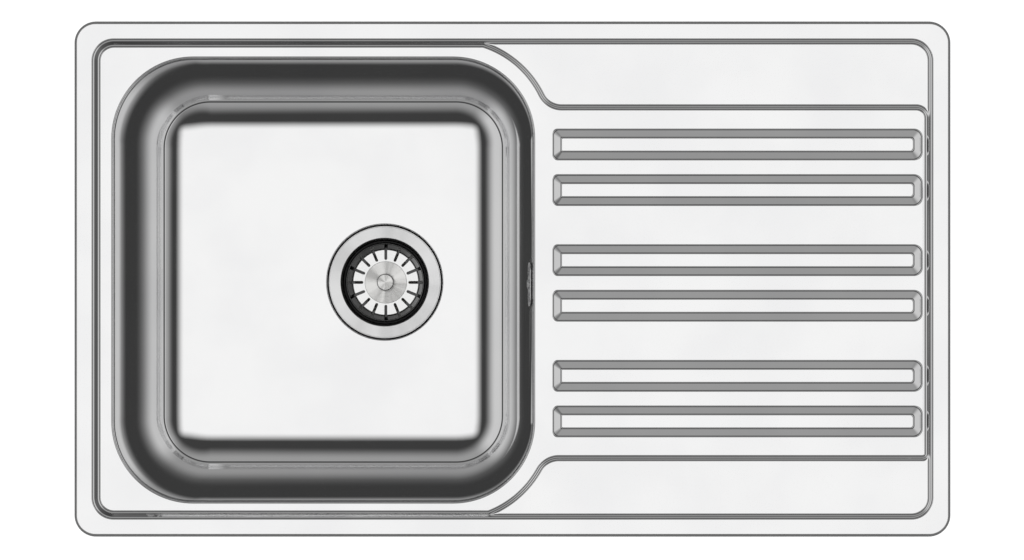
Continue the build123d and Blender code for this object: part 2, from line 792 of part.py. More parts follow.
with BuildPart() as overflow_housing:
    with BuildSketch(overflow_plane(housing_front)):
        RectangleRounded(housing_length, housing_width, overflow_radius + grille_border)
    extrude(amount=-housing_depth)
    with BuildSketch(spigot_plane):
        Circle(hose_radius)
    extrude(amount=housing_width / 2 + spigot_length)
    with BuildSketch(overflow_plane(housing_front)):
        RectangleRounded(housing_length - 2 * housing_wall, housing_width - 2 * housing_wall,
                         overflow_radius)
    extrude(amount=-housing_depth + housing_wall, mode=Mode.SUBTRACT)
    with BuildSketch(spigot_plane):
        Circle(hose_bore)
    extrude(amount=housing_width + spigot_length, mode=Mode.SUBTRACT)
    with BuildSketch(overflow_plane(housing_front)):
        Circle(overflow_boss_radius)
    extrude(amount=-housing_depth + housing_wall)
    with BuildSketch(overflow_plane(housing_front)):
        Circle(overflow_screw_radius + thread_gap)
    extrude(amount=-overflow_screw_length, mode=Mode.SUBTRACT)
save(overflow_housing, "overflow_housing")

with BuildPart() as overflow_screw:
    with BuildSketch(overflow_plane(grille_thickness)):
        Circle(overflow_head_radius)
    extrude(amount=overflow_head_height)
    fillet(overflow_screw.edges().filter_by(GeomType.CIRCLE).sort_by(Axis.X)[0], overflow_head_round)
    with BuildSketch(overflow_plane(grille_thickness)):
        Circle(overflow_screw_radius)
    extrude(amount=-overflow_screw_length)
    with BuildSketch(overflow_plane(grille_thickness + overflow_head_height)):
        Rectangle(2 * overflow_head_radius, tag_slot)
    extrude(amount=-tag_slot, mode=Mode.SUBTRACT)
save(overflow_screw, "overflow_screw")
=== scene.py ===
# %% [markdown]
# # An inset steel sink with a ribbed drainer
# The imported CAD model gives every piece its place. This lesson puts finer, properly rounded
# pressings over the plain ones, gives every piece a finish, and lights the whole like a
# catalogue picture taken from straight above.

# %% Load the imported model
import json
from math import atan2, cos, degrees, pi, radians, sin, sqrt, tan

import bmesh
import bpy
from mathutils import Matrix, Vector
from mathutils.geometry import intersect_point_line


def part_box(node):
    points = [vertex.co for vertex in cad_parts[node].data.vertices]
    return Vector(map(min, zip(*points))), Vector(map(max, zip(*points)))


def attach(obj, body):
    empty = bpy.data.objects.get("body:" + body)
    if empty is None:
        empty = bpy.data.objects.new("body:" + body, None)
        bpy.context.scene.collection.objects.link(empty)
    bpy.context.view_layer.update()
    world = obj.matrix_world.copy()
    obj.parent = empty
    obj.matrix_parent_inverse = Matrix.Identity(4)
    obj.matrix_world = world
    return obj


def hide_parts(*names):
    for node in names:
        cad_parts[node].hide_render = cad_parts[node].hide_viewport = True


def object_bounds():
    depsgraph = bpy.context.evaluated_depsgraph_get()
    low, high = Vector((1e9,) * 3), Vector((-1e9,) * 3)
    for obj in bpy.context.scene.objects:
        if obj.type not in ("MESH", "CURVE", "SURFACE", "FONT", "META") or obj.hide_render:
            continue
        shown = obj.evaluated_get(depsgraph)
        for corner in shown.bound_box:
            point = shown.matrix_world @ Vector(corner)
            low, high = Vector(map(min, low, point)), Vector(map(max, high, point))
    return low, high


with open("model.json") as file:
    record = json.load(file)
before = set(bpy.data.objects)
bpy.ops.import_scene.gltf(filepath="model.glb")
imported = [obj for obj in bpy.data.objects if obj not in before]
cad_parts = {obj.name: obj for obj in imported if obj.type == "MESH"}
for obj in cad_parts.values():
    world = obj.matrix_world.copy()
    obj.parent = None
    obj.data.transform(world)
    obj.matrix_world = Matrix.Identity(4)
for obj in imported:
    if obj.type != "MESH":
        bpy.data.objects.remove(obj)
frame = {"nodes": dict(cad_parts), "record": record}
cad_box = [list(corner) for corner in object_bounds()]
MM = 0.001
scene = bpy.context.scene
print("nodes", len(frame["nodes"]), "box", cad_box)

# %% [markdown]
# ## The camera
# The picture was taken from straight above, so the camera looks down with no turn at all. The
# bowl's far wall shows a little less than its near one, which puts the camera's axis a few
# centimetres in front of the sink's middle. A small shift brings the sink back to the middle.

# %% Set the camera
PICTURE_WIDTH = 1024
PIXELS_PER_MM = 1.032
CAMERA_HEIGHT = 3.0
CAMERA_Y = -0.037
CENTRE_LEFT, CENTRE_UP = 0.45, 1.0

camera_data = bpy.data.cameras.new("camera")
camera = bpy.data.objects.new("camera", camera_data)
scene.collection.objects.link(camera)
scene.camera = camera
rim_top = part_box("drainboard_top")[1].z
camera.location = (0, CAMERA_Y, rim_top + CAMERA_HEIGHT)
camera_data.lens = camera_data.sensor_width * CAMERA_HEIGHT / (PICTURE_WIDTH / PIXELS_PER_MM * MM)
camera_data.shift_y = (-CAMERA_Y / MM * PIXELS_PER_MM - CENTRE_UP) / PICTURE_WIDTH
camera_data.shift_x = -CENTRE_LEFT / PICTURE_WIDTH
camera_data.clip_end = 40
print("lens", round(camera_data.lens, 1), "shift", round(camera_data.shift_y, 4))

# %% [markdown]
# ## Nodes in one line
# A finish is a small net of shader nodes. These two helpers add a node with its settings and
# its input values in one line, so that each finish below stays short enough to read.

# %% Helpers for shader nodes
def add_node(tree, kind, values=None, **settings):
    """Adds a node, sets its settings, and fills its sockets with values or links."""
    node = tree.nodes.new(kind)
    for key, value in settings.items():
        setattr(node, key, value)
    for key, value in (values or {}).items():
        if isinstance(value, bpy.types.NodeSocket):
            tree.links.new(value, node.inputs[key])
        else:
            node.inputs[key].default_value = value
    return node


def arithmetic(tree, operation, *values, clamp=False):
    """One Math node's result."""
    return add_node(tree, "ShaderNodeMath", dict(enumerate(values)), operation=operation,
                    use_clamp=clamp).outputs[0]


def remap(tree, value, low, high, to_low=0.0, to_high=1.0, smooth=True):
    """A value spread over a new range, held at its ends."""
    limits = {"From Min": low, "From Max": high, "To Min": to_low, "To Max": to_high}
    return add_node(tree, "ShaderNodeMapRange", {"Value": value, **limits},
                    interpolation_type="SMOOTHSTEP" if smooth else "LINEAR").outputs["Result"]


# %% [markdown]
# ## The light
# Polished steel shows only what it mirrors. A flat sheet seen from above mirrors the lamp
# overhead, so it is nearly white; a slope of ten degrees already looks past the lamp into the
# dim room, and a steep one finds the soft panels that stand round the table. Lamps could be
# objects, but a sky does the same from any distance and leaves nothing in the model: one wide
# lamp overhead, a dim room, and a high and a low panel on each of the four sides. The camera
# itself sees a white backdrop, as pale as the floor.

# %% Build the sky
# A direction that rises less than this counts as level.
HORIZON = 0.001
world = bpy.data.worlds.new("studio")
scene.world = world
world.use_nodes = True
sky = world.node_tree
sky.nodes.clear()
direction = add_node(sky, "ShaderNodeTexCoord").outputs["Generated"]
part = add_node(sky, "ShaderNodeSeparateXYZ", {"Vector": direction})
up = arithmetic(sky, "MAXIMUM", part.outputs["Z"], HORIZON)


def lean_of(sideways):
    """How many degrees a direction leans from straight up towards one side."""
    lean = arithmetic(sky, "ARCTAN2", arithmetic(sky, "ABSOLUTE", sideways), up)
    return arithmetic(sky, "DEGREES", lean)


def panel(lean, near, far, soft):
    """A soft-edged panel between two leans."""
    edge_in = remap(sky, lean, near - soft, near + soft)
    edge_out = remap(sky, lean, far - soft, far + soft, 1.0, 0.0)
    return arithmetic(sky, "MULTIPLY", edge_in, edge_out)


# Leans and soft edges are in degrees from straight up.
LAMP, LAMP_WIDE, LAMP_DEEP, LAMP_SOFT = 1.0, 12.0, 9.0, 3.5
ROOM = 0.05
HIGH_PANEL, HIGH_SOFT = (20.0, 30.0), 4.0
LOW_PANEL, LOW_SOFT = (50.0, 80.0), 10.0
# The panels at the front and back are dimmer than those at the sides, and run over into them.
FRONT_STRENGTH, SIDE_STRENGTH = 0.3, 0.6
CORNER_START, CORNER_END = 0.25, 0.75

lamp = arithmetic(sky, "MULTIPLY",
                  remap(sky, lean_of(part.outputs["X"]),
                        LAMP_WIDE - LAMP_SOFT, LAMP_WIDE + LAMP_SOFT, LAMP, 0.0),
                  remap(sky, lean_of(part.outputs["Y"]),
                        LAMP_DEEP - LAMP_SOFT, LAMP_DEEP + LAMP_SOFT, 1.0, 0.0))
level_part = add_node(sky, "ShaderNodeVectorMath", {0: direction, 1: (1, 1, 0)},
                      operation="MULTIPLY").outputs[0]
level_length = add_node(sky, "ShaderNodeVectorMath", {0: level_part}, operation="LENGTH")
lean = lean_of(level_length.outputs["Value"])
heading = add_node(sky, "ShaderNodeSeparateXYZ", {"Vector": add_node(
    sky, "ShaderNodeVectorMath", {0: level_part}, operation="NORMALIZE").outputs[0]})
sideways = arithmetic(sky, "MULTIPLY", heading.outputs["X"], heading.outputs["X"])
strength = remap(sky, sideways, CORNER_START, CORNER_END, FRONT_STRENGTH, SIDE_STRENGTH)
bands = arithmetic(sky, "ADD", panel(lean, *HIGH_PANEL, HIGH_SOFT),
                   panel(lean, *LOW_PANEL, LOW_SOFT))
room = arithmetic(sky, "MULTIPLY_ADD", bands, strength, ROOM)
total = arithmetic(sky, "MAXIMUM", lamp, room)
backdrop = add_node(sky, "ShaderNodeLightPath").outputs["Is Camera Ray"]
total = arithmetic(sky, "MAXIMUM", total, backdrop)
back = add_node(sky, "ShaderNodeBackground", {"Strength": total, "Color": (1, 1, 1, 1)})
add_node(sky, "ShaderNodeOutputWorld", {"Surface": back.outputs[0]})
scene.view_settings.view_transform = "Standard"
print("sky nodes", len(sky.nodes))

# %% [markdown]
# ## Pieces
# Every new piece starts as a bmesh and ends as an object at the origin. Sheet metal is drawn
# once, as its upper face, and a Solidify modifier gives it its thickness. A Weighted Normal
# modifier then keeps the flats flat: their large faces decide the shading at the bends' edges.

# %% Helpers for pieces
BORDER = 0.5
MERGE, LATHE_MERGE = 0.015, 0.01
NO_MOVE, MEETS, SAME_LEVEL = 1e-6, 1e-4, 1e-6
ROUND_STEPS = 128


def finished(bm, name, material, body, node, thickness=0.0):
    """Makes the bmesh an object that stands for a node and rides on its body."""
    mesh = bpy.data.meshes.new(name)
    for face in bm.faces:
        face.smooth = True
    bm.to_mesh(mesh)
    bm.free()
    mesh.materials.append(material)
    piece = bpy.data.objects.new(name, mesh)
    scene.collection.objects.link(piece)
    if thickness:
        wall = piece.modifiers.new("sheet", "SOLIDIFY")
        wall.thickness, wall.offset, wall.use_even_offset = thickness * MM, -1, True
    shading = piece.modifiers.new("shading", "WEIGHTED_NORMAL")
    shading.mode, shading.weight, shading.keep_sharp = "FACE_AREA", 90, True
    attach(piece, body)
    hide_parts(node)
    print(name, len(mesh.polygons), "faces")
    return piece


def trace(start, moves):
    """A closed outline's points in mm, each with the level way in that keeps its edges parallel.

    A move is a point to run to, or (centre x, centre y, degrees, steps) to swing round."""
    points, ways = [Vector(start)], [[]]
    for move in moves:
        here = points[-1]
        if len(move) == 2:
            there = Vector(move)
            if (there - here).length < NO_MOVE:
                continue
            way = Vector((here.y - there.y, there.x - here.x)).normalized()
            ways[-1].append(way)
            points.append(there)
            ways.append([way])
        else:
            centre, turn, steps = Vector(move[:2]), radians(move[2]), move[3]
            side = 1 if turn > 0 else -1
            arm = here - centre
            ways[-1].append(-side * arm.normalized())
            for step in range(1, steps + 1):
                swung = Matrix.Rotation(turn * step / steps, 2) @ arm
                points.append(centre + swung)
                ways.append([-side * swung.normalized()])
    if (points[-1] - points[0]).length < MEETS:
        points.pop()
        ways[0] = ways.pop() + ways[0]
    else:
        way = Vector((points[-1].y - points[0].y, points[0].x - points[-1].x)).normalized()
        ways[-1].append(way)
        ways[0].insert(0, way)
    met = []
    for several in ways:
        first, last = several[0], several[-1]
        met.append((first + last) / (1 + first.dot(last)))
    return points, met


def rounded(left, right, front, back, radius, steps=16, right_radius=None):
    """Start and moves of a rounded rectangle, anticlockwise from the foot of its right side."""
    near = radius
    far = radius if right_radius is None else right_radius
    return (right, front + far), [
        (right, back - far), (right - far, back - far, 90, steps),
        (left + near, back), (left + near, back - near, 90, steps),
        (left, front + near), (left + near, front + near, 90, steps),
        (right - far, front), (right - far, front + far, 90, steps)]


def at_height(points, height):
    """Flat points in mm lifted to a height, in metres."""
    return [Vector((point.x, point.y, height)) * MM for point in points]


def lay(bm, points):
    """Draws a closed ring of edges by pulling one vertex from point to point."""
    ring = [bmesh.ops.create_vert(bm, co=points[0])["vert"][0]]
    for point in points[1:]:
        ring.append(bmesh.ops.extrude_vert_indiv(bm, verts=[ring[-1]])["verts"][0])
        ring[-1].co = point
    bm.edges.new((ring[-1], ring[0]))
    return ring


def edges_of(bm, ring):
    """The edges of a closed ring."""
    return [bm.edges.get(pair) for pair in zip(ring, ring[1:] + ring[:1])]


def pull(bm, ring, points):
    """Extrudes a ring's edges and sets the new ring's points in place."""
    made = bmesh.ops.extrude_edge_only(bm, edges=edges_of(bm, ring))["geom"]
    fresh = {item for item in made if isinstance(item, bmesh.types.BMVert)}
    moved = []
    for vert, point in zip(ring, points):
        partner = next(edge.other_vert(vert) for edge in vert.link_edges
                       if edge.other_vert(vert) in fresh)
        partner.co = point
        moved.append(partner)
    return moved


def bend(profile, radius, start, end, steps):
    """Goes on from a profile's last (run, drop) with a bend from one tilt to another."""
    run, drop = profile[-1]
    side = radius if end > start else -radius
    first = radians(start)
    for step in range(1, steps + 1):
        tilt = radians(start + (end - start) * step / steps)
        profile.append((run + side * (sin(tilt) - sin(first)),
                        drop + side * (cos(first) - cos(tilt))))
    return profile


def press(bm, ring, outline, profile, level):
    """Pulls a ring along a profile of runs in and drops down from a level."""
    points, ways = outline
    for run, drop in profile:
        ring = pull(bm, ring, at_height([p + w * run for p, w in zip(points, ways)], level - drop))
    return ring


def brace(bm, level):
    """Draws a narrow border just inside a level flat, so that its middle is shaded dead flat."""
    flat = [face for face in bm.faces
            if all(abs(vert.co.z - level * MM) < SAME_LEVEL for vert in face.verts)]
    bmesh.ops.inset_region(bm, faces=flat, thickness=BORDER * MM,
                           use_even_offset=True, use_boundary=True)


def face_up(bm):
    """Merges doubles and turns an open sheet's faces to its upper side."""
    bmesh.ops.remove_doubles(bm, verts=bm.verts, dist=MERGE * MM)
    bmesh.ops.recalc_face_normals(bm, faces=bm.faces)
    if sum(face.normal.z * face.calc_area() for face in bm.faces) < 0:
        bmesh.ops.reverse_faces(bm, faces=bm.faces)


# %% [markdown]
# ## Finishes that several pieces share
# Polished and turned steel differ only in the lines that the abrasive leaves. Soft patches
# vary the gloss, straight lines are noise stretched along X, and turned lines are noise read
# by the distance from an axis. Each is a node group with named inputs.

# %% Shared node groups
def new_group(name, inputs, outputs):
    """A node group with float or vector inputs and float outputs."""
    group = bpy.data.node_groups.new(name, "ShaderNodeTree")
    for label, value in inputs.items():
        kind = "NodeSocketVector" if value is None else "NodeSocketFloat"
        socket = group.interface.new_socket(label, in_out="INPUT", socket_type=kind)
        if value is not None:
            socket.default_value = value
    for label in outputs:
        group.interface.new_socket(label, in_out="OUTPUT", socket_type="NodeSocketFloat")
    given = group.nodes.new("NodeGroupInput").outputs
    return group, given, group.nodes.new("NodeGroupOutput").inputs


patches, given, result = new_group(
    "soft patches", {"Vector": None, "Scale": 20, "Low": 0, "High": 1}, ["Value"])
cloud = add_node(patches, "ShaderNodeTexNoise",
                 {"Vector": given["Vector"], "Scale": given["Scale"],
                  "Detail": 3.0, "Roughness": 0.55})
patches.links.new(remap(patches, cloud.outputs["Fac"], 0.32, 0.68, given["Low"], given["High"]),
                  result["Value"])

lines, given, result = new_group(
    "straight lines", {"Vector": None, "Spacing": 900, "Length": 12}, ["Value"])
spread = add_node(lines, "ShaderNodeCombineXYZ",
                  {"X": given["Length"], "Y": given["Spacing"], "Z": given["Spacing"]})
scaled = add_node(lines, "ShaderNodeVectorMath", {0: given["Vector"], 1: spread.outputs[0]},
                  operation="MULTIPLY")
grain = add_node(lines, "ShaderNodeTexNoise",
                 {"Vector": scaled.outputs[0], "Scale": 1.0, "Detail": 2.0})
lines.links.new(grain.outputs["Fac"], result["Value"])

turned, given, result = new_group("turned lines", {"Vector": None, "Spacing": 1500}, ["Value"])
flat = add_node(turned, "ShaderNodeVectorMath", {0: given["Vector"], 1: (1, 1, 0)},
                operation="MULTIPLY")
reach = add_node(turned, "ShaderNodeVectorMath", {0: flat.outputs[0]}, operation="LENGTH")
turns = arithmetic(turned, "MULTIPLY", reach.outputs["Value"], given["Spacing"])
rings = add_node(turned, "ShaderNodeTexNoise", {"W": turns, "Scale": 1.0, "Detail": 2.0},
                 noise_dimensions="1D")
turned.links.new(rings.outputs["Fac"], result["Value"])

grains, given, result = new_group("grains", {"Vector": None, "Scale": 800}, ["Value"])
cells = add_node(grains, "ShaderNodeTexVoronoi",
                 {"Vector": given["Vector"], "Scale": given["Scale"]})
coarser = arithmetic(grains, "MULTIPLY", given["Scale"], 0.6)
haze = add_node(grains, "ShaderNodeTexNoise", {"Vector": given["Vector"], "Scale": coarser})
grains.links.new(arithmetic(grains, "MULTIPLY", cells.outputs["Distance"], haze.outputs["Fac"]),
                 result["Value"])
print("groups", [group.name for group in bpy.data.node_groups])


def new_finish(name, **sockets):
    """A material with one Principled shader, its constants set on its own sockets."""
    material = bpy.data.materials.new(name)
    material.use_nodes = True
    tree = material.node_tree
    tree.nodes.clear()
    shader = add_node(tree, "ShaderNodeBsdfPrincipled",
                      {key.replace("_", " "): value for key, value in sockets.items()})
    add_node(tree, "ShaderNodeOutputMaterial", {"Surface": shader.outputs[0]})
    return material, tree, shader


def use_group(tree, group, **values):
    """A placed node group's result."""
    node = tree.nodes.new("ShaderNodeGroup")
    node.node_tree = group
    for key, value in values.items():
        if isinstance(value, bpy.types.NodeSocket):
            tree.links.new(value, node.inputs[key])
        else:
            node.inputs[key].default_value = value
    return node.outputs[0]


def place_on(tree, centre=(0, 0, 0)):
    """Object coordinates with their zero at centre, in metres."""
    where = add_node(tree, "ShaderNodeTexCoord").outputs["Object"]
    return add_node(tree, "ShaderNodeMapping",
                    {"Vector": where, "Location": [-c for c in centre]}).outputs[0]


def blend(tree, factor, first, last):
    """A colour between two, as a factor says."""
    colours = {"Factor": factor, "A": tuple(first) + (1,), "B": tuple(last) + (1,)}
    return add_node(tree, "ShaderNodeMix", colours, data_type="RGBA").outputs["Result"]


def tinted(tree, shader, factor, first, last):
    """Feeds a colour between two to the shader's base colour."""
    tree.links.new(blend(tree, factor, first, last), shader.inputs["Base Color"])


def bumped(tree, shader, height, strength, distance):
    """Feeds a height to the shader's normal."""
    bump = add_node(tree, "ShaderNodeBump",
                    {"Height": height, "Strength": strength, "Distance": distance})
    tree.links.new(bump.outputs["Normal"], shader.inputs["Normal"])


# %% [markdown]
# ## Polished steel
# The pressing and the bowl are bright polished sheet: nearly a mirror, with faint lines from
# the polishing belt and soft patches where the gloss differs a little.

# %% Make the polished steel
polished, tree, shader = new_finish("polished_steel", Metallic=1.0)
where = place_on(tree)
tone = use_group(tree, patches, Vector=where, Scale=9.0, Low=0.0, High=1.0)
tinted(tree, shader, tone, (0.86, 0.86, 0.865), (0.90, 0.90, 0.90))
gloss = use_group(tree, patches, Vector=where, Scale=26.0, Low=0.015, High=0.045)
tree.links.new(gloss, shader.inputs["Roughness"])
belt = use_group(tree, lines, Vector=where, Spacing=1400.0, Length=14.0)
bumped(tree, shader, belt, 0.006, 0.0002)
print(polished.name)

# %% [markdown]
# ## The pressed top: its outline and its profile
# One sheet of steel makes the rim, the two ledges, the drained deck, the ribs and the bowl's
# mouth. Its bends run along outlines, so the way to model it is to draw each outline once and
# pull it through a profile of small steps in and down, as a draughtsman would read a section.

# %% Sizes of the pressing
LENGTH, WIDTH, OUTER_RADIUS = 850.0, 500.0, 21.0
SHEET, RIM, LEDGE, DECK, WELD = 0.8, 5.0, 2.0, -1.0, -10.0
LIP_BEND, LIP_ANGLE, LIP_FOOT = 0.6, 60.0, 0.4
WELL_X, WELL_Y, WELL_RADIUS = 406.7, 231.7, 20.0
STEP, STEP_ANGLE, STEP_BEND = 3.0, 47.0, 4.5
STEP_RUN = STEP / tan(radians(STEP_ANGLE))
BOWL = dict(left=-389.9, right=22.3, front=-218.2, back=216.4)
BOWL_RADIUS, BOWL_LIP, DRAFT = 80.0, 2.1, 6.3
CURVE, REVERSE = BOWL_RADIUS + 17.1, 20.6
BACK_STEP, BACK_END, FRONT_STEP, FRONT_END = 168.0, 12.0, -175.2, 6.0

# %% Half of a step in section
tangent = STEP_BEND * tan(radians(STEP_ANGLE / 2))
BEND_STEPS = 8
over = bend([(-tangent, 0.0)], STEP_BEND, 0, STEP_ANGLE, BEND_STEPS)
under = [(STEP_RUN - run, STEP - drop) for run, drop in reversed(over)]
middle = (STEP_RUN, STEP)
down_to_middle = [tuple(a + (b - a) * k / BEND_STEPS for a, b in zip(over[-1], middle))
                  for k in range(BEND_STEPS + 1)]
from_middle = [(STEP_RUN - run, STEP - drop) for run, drop in reversed(down_to_middle)]
print("step", round(STEP_RUN, 2), "tangent", round(tangent, 2))

# %% The outlines of the well and of the deck
corner_x = BOWL["right"] - BOWL_RADIUS


def deck_side(side, step_y):
    """Where one of the deck's curved edges forks from the well and meets its reverse curve."""
    mouth_y = BOWL["back"] if side > 0 else BOWL["front"]
    corner = Vector((corner_x, mouth_y - side * BOWL_RADIUS))
    far = side * (WELL_Y - STEP_RUN)
    fork = Vector((corner.x + sqrt(CURVE**2 - (far - corner.y) ** 2), far))
    reverse_y = step_y + side * REVERSE
    reach = sqrt((CURVE + REVERSE) ** 2 - (reverse_y - corner.y) ** 2)
    reverse = Vector((corner.x + reach, reverse_y))
    return corner, fork, reverse, reverse - corner


def turn_between(first, last):
    """The angle from one arm to another, in degrees."""
    return (degrees(atan2(last.y, last.x) - atan2(first.y, first.x)) + 180) % 360 - 180


back = deck_side(1, BACK_STEP)
front = deck_side(-1, FRONT_STEP)
# Stations are points along a straight edge, set apart by a pitch in mm.
FORK_STATIONS, FORK_PITCH = 26, 1.5
BACK_STATIONS, BACK_PITCH, FRONT_STATIONS, FRONT_PITCH = 23, 0.75, 20, 0.5
CORNER_STEPS, BACK_END_STEPS, FRONT_END_STEPS = 18, 24, 18
REVERSE_STEPS, BACK_CURVE_STEPS, FRONT_CURVE_STEPS = 30, 46, 40
x, y = WELL_X - WELL_RADIUS, WELL_Y - WELL_RADIUS


def left_part(inset):
    """The well's edge from the back fork round the bowl's side to the front fork."""
    return [(-x, y + WELL_RADIUS - inset), (-x, y, 90, CORNER_STEPS),
            (-x - WELL_RADIUS + inset, -y), (-x, -y, 90, CORNER_STEPS),
            (front[1].x, -y - WELL_RADIUS + inset)]


back_end_y, front_end_y = BACK_STEP - BACK_END, FRONT_STEP + FRONT_END
well = trace((WELL_X, 0), [(WELL_X, back_end_y)]
             + [(WELL_X, back_end_y + BACK_PITCH * k) for k in range(1, BACK_STATIONS + 1)]
             + [(WELL_X, y), (x, y, 90, CORNER_STEPS)]
             + [(back[1].x + FORK_PITCH * k, WELL_Y) for k in range(FORK_STATIONS, -1, -1)]
             + left_part(0.0)
             + [(front[1].x + FORK_PITCH * k, -WELL_Y) for k in range(1, FORK_STATIONS + 1)]
             + [(x, -WELL_Y), (x, -y, 90, CORNER_STEPS)]
             + [(WELL_X, front_end_y - FRONT_PITCH * k) for k in range(FRONT_STATIONS, -1, -1)])
right = WELL_X - STEP_RUN
deck = trace((right, 0), [
    (right, back_end_y), (right - BACK_END, back_end_y, 90, BACK_END_STEPS),
    (back[2].x, BACK_STEP),
    (*back[2], turn_between(Vector((0, -1)), -back[3]), REVERSE_STEPS),
    (*back[0], turn_between(back[3], back[1] - back[0]), BACK_CURVE_STEPS)]
    + left_part(STEP_RUN)
    + [(*front[0], turn_between(front[1] - front[0], front[3]), FRONT_CURVE_STEPS),
       (*front[2], turn_between(-front[3], Vector((0, 1))), REVERSE_STEPS),
       (right - FRONT_END, FRONT_STEP),
       (right - FRONT_END, front_end_y, 90, FRONT_END_STEPS)])
print("stations", len(well[0]), len(deck[0]))

# %% [markdown]
# ## The pressed top: where one step splits in two
# Beside the bowl the sheet falls from the rim to the deck in one slope. Beside the drainer it
# stops halfway on a ledge. Both are drawn as two half steps, one along the well and one along
# the deck. Where the two outlines part, each half step slowly takes on its own round edge.

# %% How far the two outlines are apart at each point
# Where the gap is about as wide as both bends, the share is 1.
ROUNDING = 0.9


def distance_to(point, outline):
    """The distance from a point to the nearest edge of a closed outline."""
    best = 1e9
    for a, b in zip(outline, outline[1:] + outline[:1]):
        foot, share = intersect_point_line(point.to_3d(), a.to_3d(), b.to_3d())
        foot = a.lerp(b, min(1.0, max(0.0, share)))
        best = min(best, (point - foot).length)
    return best


def share_of_round(points, others):
    """0 where the outlines run together and 1 where a ledge lies between them."""
    return [min(1.0, ROUNDING * distance_to(point, others) / (2 * tangent)) for point in points]


well_foot = [p + w * STEP_RUN for p, w in zip(*well)]
well_share = share_of_round(well_foot, deck[0])
deck_share = share_of_round(deck[0], well_foot)


def half_step(bm, ring, outline, straight, rounded_off, shares, level):
    """Pulls a ring through a half step that is straight or rounded, as each point's share says."""
    points, ways = outline
    for plain, soft in zip(straight, rounded_off):
        placed = []
        for point, way, share in zip(points, ways, shares):
            run = plain[0] + (soft[0] - plain[0]) * share
            drop = plain[1] + (soft[1] - plain[1]) * share
            placed += at_height([point + way * run], level - drop)
        ring = pull(bm, ring, placed)
    return ring


# %% Press the rim, the steps and the ledges
bm = bmesh.new()
lip_profile = bend([(0.0, 0.0)], LIP_BEND, 0, LIP_ANGLE, steps=6)
lip_drop = RIM - LIP_FOOT
lip_run = lip_profile[-1][0] + (lip_drop - lip_profile[-1][1]) / tan(radians(LIP_ANGLE))
lip_profile.append((lip_run, lip_drop))
lip = trace(*rounded(-LENGTH / 2 + lip_run, LENGTH / 2 - lip_run,
                     -WIDTH / 2 + lip_run, WIDTH / 2 - lip_run, OUTER_RADIUS - lip_run))
lip_ring = lay(bm, at_height(lip[0], RIM))
press(bm, lip_ring, lip, [(-run, drop) for run, drop in lip_profile[1:]], RIM)

well_ring = lay(bm, at_height([p + w * over[0][0] for p, w in zip(*well)], RIM))
ring = press(bm, well_ring, well, over[1:], RIM)
ring = half_step(bm, ring, well, down_to_middle[1:], under[1:], well_share, RIM)

start = [p + w * over[0][0] * share for p, w, share in zip(*deck, deck_share)]
deck_ring = lay(bm, at_height(start, LEDGE))
ring = half_step(bm, deck_ring, deck, from_middle[1:], over[1:], deck_share, LEDGE)
press(bm, ring, deck, under[1:], LEDGE)

rim_edges = edges_of(bm, lip_ring) + edges_of(bm, well_ring)
bmesh.ops.triangle_fill(bm, use_beauty=True, edges=rim_edges)
print("rim and steps", len(bm.faces), "faces")

# %% [markdown]
# ## The pressed top: the ribs and the bowl's mouth
# Six ribs stand on the drainer so that air gets under a plate. Each is a long rounded
# rectangle drawn up and in, with a tight corner at its left end and a rounder one at its
# right. The bowl's mouth is a rounded edge that turns down into the bowl's wall.

# %% Sizes of the ribs
RIB = dict(left=39.6, right=397.1)
RIB_WIDTH, RIB_TOP, RIB_HEIGHT, RIB_BEND = 29.0, 13.6, 4.5, 4.4
RIB_CENTRES = [130.5, 86.3, 18.3, -25.9, -93.9, -138.1]
# A corner's radius at the rib's foot, and how much smaller it is at the rib's top.
LEFT_CORNER, RIGHT_CORNER = (5.0, 3.8), (8.0, 5.0)
rib_run = (RIB_WIDTH - RIB_TOP) / 2
rib_angle = degrees(atan2(RIB_HEIGHT, rib_run))
rib_tangent = RIB_BEND * tan(radians(rib_angle / 2))
rising = bend([(-rib_tangent, 0.0)], RIB_BEND, 0, rib_angle, steps=5)
rib_profile = rising + [(rib_run - run, RIB_HEIGHT - drop) for run, drop in reversed(rising)]


def rib_outline(centre, run):
    """A rib's outline, drawn in by a run."""
    share = (run + rib_tangent) / (rib_run + 2 * rib_tangent)
    left_radius, right_radius = (foot - less * share for foot, less in (LEFT_CORNER, RIGHT_CORNER))
    return trace(*rounded(RIB["left"] + run, RIB["right"] - run,
                          centre - RIB_WIDTH / 2 + run, centre + RIB_WIDTH / 2 - run,
                          left_radius, steps=8, right_radius=right_radius))[0]


# %% Press the ribs and the mouth, and fill the flats
for centre in RIB_CENTRES:
    ring = lay(bm, at_height(rib_outline(centre, rib_profile[0][0]), DECK))
    for run, rise in rib_profile[1:]:
        ring = pull(bm, ring, at_height(rib_outline(centre, run), DECK + rise))
    bmesh.ops.edgeloop_fill(bm, edges=edges_of(bm, ring))

MOUTH_STEPS = 28
mouth = trace(*rounded(**BOWL, radius=BOWL_RADIUS, steps=MOUTH_STEPS))
mouth_ring = lay(bm, at_height(mouth[0], DECK))
lip_down = bend([(0.0, 0.0)], BOWL_LIP, 0, 90 - DRAFT, steps=10)
wall_run = tan(radians(DRAFT))
at_weld = (lip_down[-1][0] + (DECK - WELD - lip_down[-1][1]) * wall_run, DECK - WELD)
press(bm, mouth_ring, mouth, lip_down[1:] + [at_weld], DECK)

